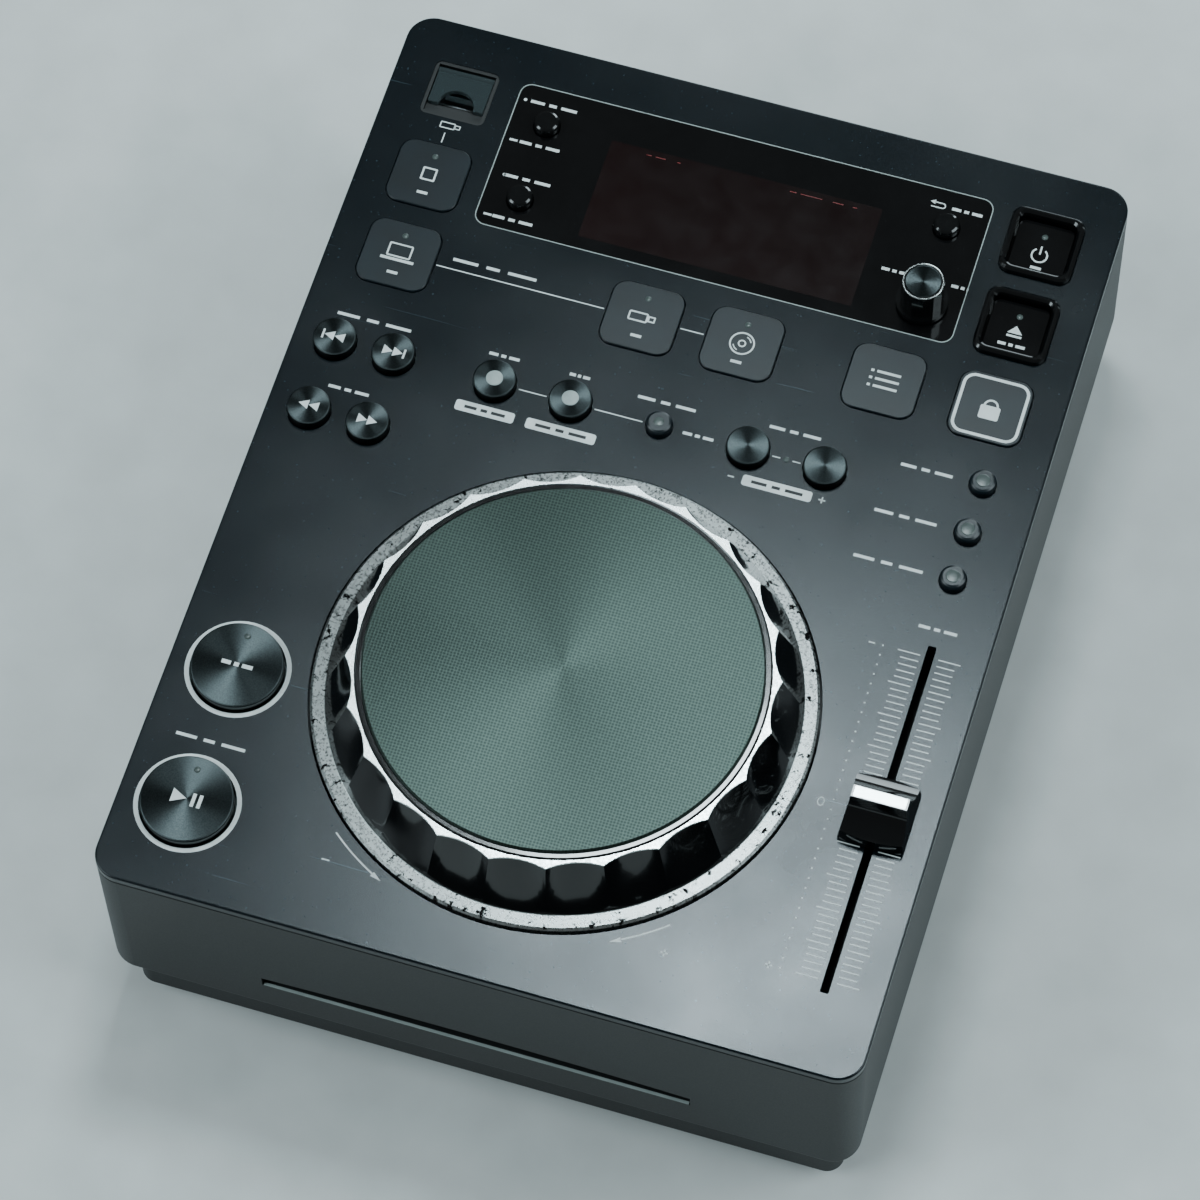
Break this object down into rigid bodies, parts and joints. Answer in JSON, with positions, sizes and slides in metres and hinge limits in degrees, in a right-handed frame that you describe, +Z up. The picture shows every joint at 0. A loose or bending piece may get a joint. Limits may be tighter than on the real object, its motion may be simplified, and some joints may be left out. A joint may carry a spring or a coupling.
{
  "type": "tabletop dj cd player",
  "caption": "Tabletop slot-loading disc player for mixing music, with a large jog wheel, tempo fader, display and push buttons.",
  "frame": {"origin": "on the floor, under the middle of the box round the whole player", "axes": "+Z up, +Y to the rear wall with the sockets, -Y to the front with the disc slot, +X to the right side with the fader"},
  "size_m": [0.218, 0.2962, 0.1072],
  "materials": {
    "deck_paint": "satin",
    "case_plastic": "satin",
    "pan_steel": "matte",
    "foot_rubber": "matte",
    "screw_steel": "satin",
    "trim_plastic": "gloss",
    "smoked_window": "gloss",
    "button_plastic": "satin",
    "transport_metal": "spun",
    "knob_plastic": "gloss",
    "ring_plastic": "gloss",
    "jog_metal": "spun",
    "board_epoxy": "satin",
    "shaft_steel": "bright",
    "plated_steel": "satin",
    "roller_rubber": "matte",
    "inner_plastic": "matte"
  },
  "bodies": {
    "case": {"top_panel": "deck_paint", "case_shell": "case_plastic", "base_chassis": "pan_steel", "rubber_feet": "foot_rubber", "case_screws": "screw_steel", "slot_bezel": "inner_plastic", "display_window": "smoked_window", "display_module": "inner_plastic", "guard_frames": "trim_plastic", "usb_well": "inner_plastic", "usb_socket": "plated_steel", "fader_body": "plated_steel", "jog_mount": "inner_plastic", "control_board": "board_epoxy", "main_board": "board_epoxy", "power_supply": "board_epoxy", "rear_jacks": "plated_steel", "mains_inlet": "inner_plastic", "drive_chassis": "plated_steel"},
    "jog_wheel": {"jog_dial": "inner_plastic", "jog_ring": "ring_plastic", "jog_shaft": "shaft_steel"},
    "jog_top": {"jog_plate": "jog_metal"},
    "fader": {"fader_cap": "knob_plastic", "fader_carriage": "inner_plastic"},
    "selector_push": {"select_plunger": "shaft_steel"},
    "selector_turn": {"select_knob": "knob_plastic"},
    "usb_flap": {"usb_cover": "smoked_window"},
    "traverse": {"traverse_frame": "plated_steel", "spindle_motor": "plated_steel"},
    "spindle": {"turntable": "inner_plastic"},
    "sled": {"pickup_sled": "inner_plastic"},
    "sled_screw": {"feed_screw": "shaft_steel"},
    "clamp": {"clamp_arm": "inner_plastic"},
    "roller": {"loading_roller": "roller_rubber"},
    "cue_button_key": {"cue_button": "transport_metal"},
    "play_button_key": {"play_button": "transport_metal"},
    "track_back_key": {"track_back": "transport_metal"},
    "track_next_key": {"track_next": "transport_metal"},
    "search_back_key": {"search_back": "transport_metal"},
    "search_forward_key": {"search_forward": "transport_metal"},
    "loop_in_key": {"loop_in": "transport_metal"},
    "loop_out_key": {"loop_out": "transport_metal"},
    "reloop_key": {"reloop": "button_plastic"},
    "beat_minus_key": {"beat_minus": "transport_metal"},
    "beat_plus_key": {"beat_plus": "transport_metal"},
    "usb_stop_key": {"usb_stop": "button_plastic"},
    "source_pc_key": {"source_pc": "button_plastic"},
    "source_usb_key": {"source_usb": "button_plastic"},
    "source_disc_key": {"source_disc": "button_plastic"},
    "playlist_key": {"playlist": "button_plastic"},
    "bpm_lock_key": {"bpm_lock": "button_plastic"},
    "power_button_key": {"power_button": "smoked_window"},
    "disc_eject_key": {"disc_eject": "smoked_window"},
    "vinyl_mode_key": {"vinyl_mode": "button_plastic"},
    "tempo_range_key": {"tempo_range": "button_plastic"},
    "master_tempo_key": {"master_tempo": "button_plastic"},
    "time_mode_key": {"time_mode": "button_plastic"},
    "display_mode_key": {"display_mode": "button_plastic"},
    "back_button_key": {"back_button": "button_plastic"}
  },
  "joints": [
    {"name": "jog_spin", "type": "hinge", "parent": "case", "child": "jog_wheel", "pos_m": [0, -0.06105, 0.0875], "axis": [0, 0, -1], "continuous": true},
    {"name": "jog_touch", "type": "slide", "parent": "jog_wheel", "child": "jog_top", "axis": [0, 0, -1], "range_m": [0, 0.0004], "stiffness_N_per_m": 4000, "springref_m": -0.0005},
    {"name": "tempo_slide", "type": "slide", "parent": "case", "child": "fader", "axis": [0, -1, 0], "range_m": [-0.05, 0.05]},
    {"name": "select_push", "type": "slide", "parent": "case", "child": "selector_push", "axis": [0, 0, -1], "range_m": [0, 0.0005], "stiffness_N_per_m": 600, "springref_m": -0.0005},
    {"name": "select_turn", "type": "hinge", "parent": "selector_push", "child": "selector_turn", "pos_m": [0.0602, 0.08785, 0.0875], "axis": [0, 0, -1], "continuous": true},
    {"name": "usb_flap_hinge", "type": "hinge", "parent": "case", "child": "usb_flap", "pos_m": [-0.0879, 0.12395, 0.0862], "axis": [-1, 0, 0], "range_deg": [0, 100]},
    {"name": "traverse_lift", "type": "hinge", "parent": "case", "child": "traverse", "pos_m": [0, 0.01215, 0.0329], "axis": [-1, 0, 0], "range_deg": [0, 2.1]},
    {"name": "spindle_spin", "type": "hinge", "parent": "traverse", "child": "spindle", "pos_m": [0, -0.07385, 0.0369], "axis": [0, 0, -1], "continuous": true},
    {"name": "sled_slide", "type": "slide", "parent": "traverse", "child": "sled", "axis": [0, 1, 0], "range_m": [0, 0.033]},
    {"name": "sled_screw_turn", "type": "hinge", "parent": "traverse", "child": "sled_screw", "pos_m": [0.03, -0.03385, 0.0354], "axis": [0, 1, 0], "range_deg": [0, 3960]},
    {"name": "clamp_swing", "type": "hinge", "parent": "case", "child": "clamp", "pos_m": [0, 0.01615, 0.054], "axis": [1, 0, 0], "range_deg": [0, 1.7], "stiffness_Nm_per_rad": 2, "springref_deg": -1.15},
    {"name": "roller_spin", "type": "hinge", "parent": "case", "child": "roller", "pos_m": [0, -0.13285, 0.0362], "axis": [1, 0, 0], "continuous": true},
    {"name": "cue_button_press", "type": "slide", "parent": "case", "child": "cue_button_key", "axis": [0, 0, -1], "range_m": [0, 0.0008], "stiffness_N_per_m": 600, "springref_m": -0.0005},
    {"name": "play_button_press", "type": "slide", "parent": "case", "child": "play_button_key", "axis": [0, 0, -1], "range_m": [0, 0.0008], "stiffness_N_per_m": 600, "springref_m": -0.0005},
    {"name": "track_back_press", "type": "slide", "parent": "case", "child": "track_back_key", "axis": [0, 0, -1], "range_m": [0, 0.0005], "stiffness_N_per_m": 500, "springref_m": -0.0005},
    {"name": "track_next_press", "type": "slide", "parent": "case", "child": "track_next_key", "axis": [0, 0, -1], "range_m": [0, 0.0005], "stiffness_N_per_m": 500, "springref_m": -0.0005},
    {"name": "search_back_press", "type": "slide", "parent": "case", "child": "search_back_key", "axis": [0, 0, -1], "range_m": [0, 0.0005], "stiffness_N_per_m": 500, "springref_m": -0.0005},
    {"name": "search_forward_press", "type": "slide", "parent": "case", "child": "search_forward_key", "axis": [0, 0, -1], "range_m": [0, 0.0005], "stiffness_N_per_m": 500, "springref_m": -0.0005},
    {"name": "loop_in_press", "type": "slide", "parent": "case", "child": "loop_in_key", "axis": [0, 0, -1], "range_m": [0, 0.0005], "stiffness_N_per_m": 500, "springref_m": -0.0005},
    {"name": "loop_out_press", "type": "slide", "parent": "case", "child": "loop_out_key", "axis": [0, 0, -1], "range_m": [0, 0.0005], "stiffness_N_per_m": 500, "springref_m": -0.0005},
    {"name": "reloop_press", "type": "slide", "parent": "case", "child": "reloop_key", "axis": [0, 0, -1], "range_m": [0, 0.0005], "stiffness_N_per_m": 500, "springref_m": -0.0005},
    {"name": "beat_minus_press", "type": "slide", "parent": "case", "child": "beat_minus_key", "axis": [0, 0, -1], "range_m": [0, 0.0005], "stiffness_N_per_m": 500, "springref_m": -0.0005},
    {"name": "beat_plus_press", "type": "slide", "parent": "case", "child": "beat_plus_key", "axis": [0, 0, -1], "range_m": [0, 0.0005], "stiffness_N_per_m": 500, "springref_m": -0.0005},
    {"name": "usb_stop_press", "type": "slide", "parent": "case", "child": "usb_stop_key", "axis": [0, 0, -1], "range_m": [0, 0.0008], "stiffness_N_per_m": 600, "springref_m": -0.0005},
    {"name": "source_pc_press", "type": "slide", "parent": "case", "child": "source_pc_key", "axis": [0, 0, -1], "range_m": [0, 0.0008], "stiffness_N_per_m": 600, "springref_m": -0.0005},
    {"name": "source_usb_press", "type": "slide", "parent": "case", "child": "source_usb_key", "axis": [0, 0, -1], "range_m": [0, 0.0008], "stiffness_N_per_m": 600, "springref_m": -0.0005},
    {"name": "source_disc_press", "type": "slide", "parent": "case", "child": "source_disc_key", "axis": [0, 0, -1], "range_m": [0, 0.0008], "stiffness_N_per_m": 600, "springref_m": -0.0005},
    {"name": "playlist_press", "type": "slide", "parent": "case", "child": "playlist_key", "axis": [0, 0, -1], "range_m": [0, 0.0008], "stiffness_N_per_m": 600, "springref_m": -0.0005},
    {"name": "bpm_lock_press", "type": "slide", "parent": "case", "child": "bpm_lock_key", "axis": [0, 0, -1], "range_m": [0, 0.0008], "stiffness_N_per_m": 600, "springref_m": -0.0005},
    {"name": "power_button_press", "type": "slide", "parent": "case", "child": "power_button_key", "axis": [0, 0, -1], "range_m": [0, 0.0008], "stiffness_N_per_m": 600, "springref_m": -0.0005},
    {"name": "disc_eject_press", "type": "slide", "parent": "case", "child": "disc_eject_key", "axis": [0, 0, -1], "range_m": [0, 0.0008], "stiffness_N_per_m": 600, "springref_m": -0.0005},
    {"name": "vinyl_mode_press", "type": "slide", "parent": "case", "child": "vinyl_mode_key", "axis": [0, 0, -1], "range_m": [0, 0.0005], "stiffness_N_per_m": 500, "springref_m": -0.0005},
    {"name": "tempo_range_press", "type": "slide", "parent": "case", "child": "tempo_range_key", "axis": [0, 0, -1], "range_m": [0, 0.0005], "stiffness_N_per_m": 500, "springref_m": -0.0005},
    {"name": "master_tempo_press", "type": "slide", "parent": "case", "child": "master_tempo_key", "axis": [0, 0, -1], "range_m": [0, 0.0005], "stiffness_N_per_m": 500, "springref_m": -0.0005},
    {"name": "time_mode_press", "type": "slide", "parent": "case", "child": "time_mode_key", "axis": [0, 0, -1], "range_m": [0, 0.0005], "stiffness_N_per_m": 500, "springref_m": -0.0005},
    {"name": "display_mode_press", "type": "slide", "parent": "case", "child": "display_mode_key", "axis": [0, 0, -1], "range_m": [0, 0.0005], "stiffness_N_per_m": 500, "springref_m": -0.0005},
    {"name": "back_button_press", "type": "slide", "parent": "case", "child": "back_button_key", "axis": [0, 0, -1], "range_m": [0, 0.0005], "stiffness_N_per_m": 500, "springref_m": -0.0005}
  ],
  "couplings": [
    {"joint": "sled_screw_turn", "follows": "sled_slide", "rad_per_m": 2094.4}
  ]
}
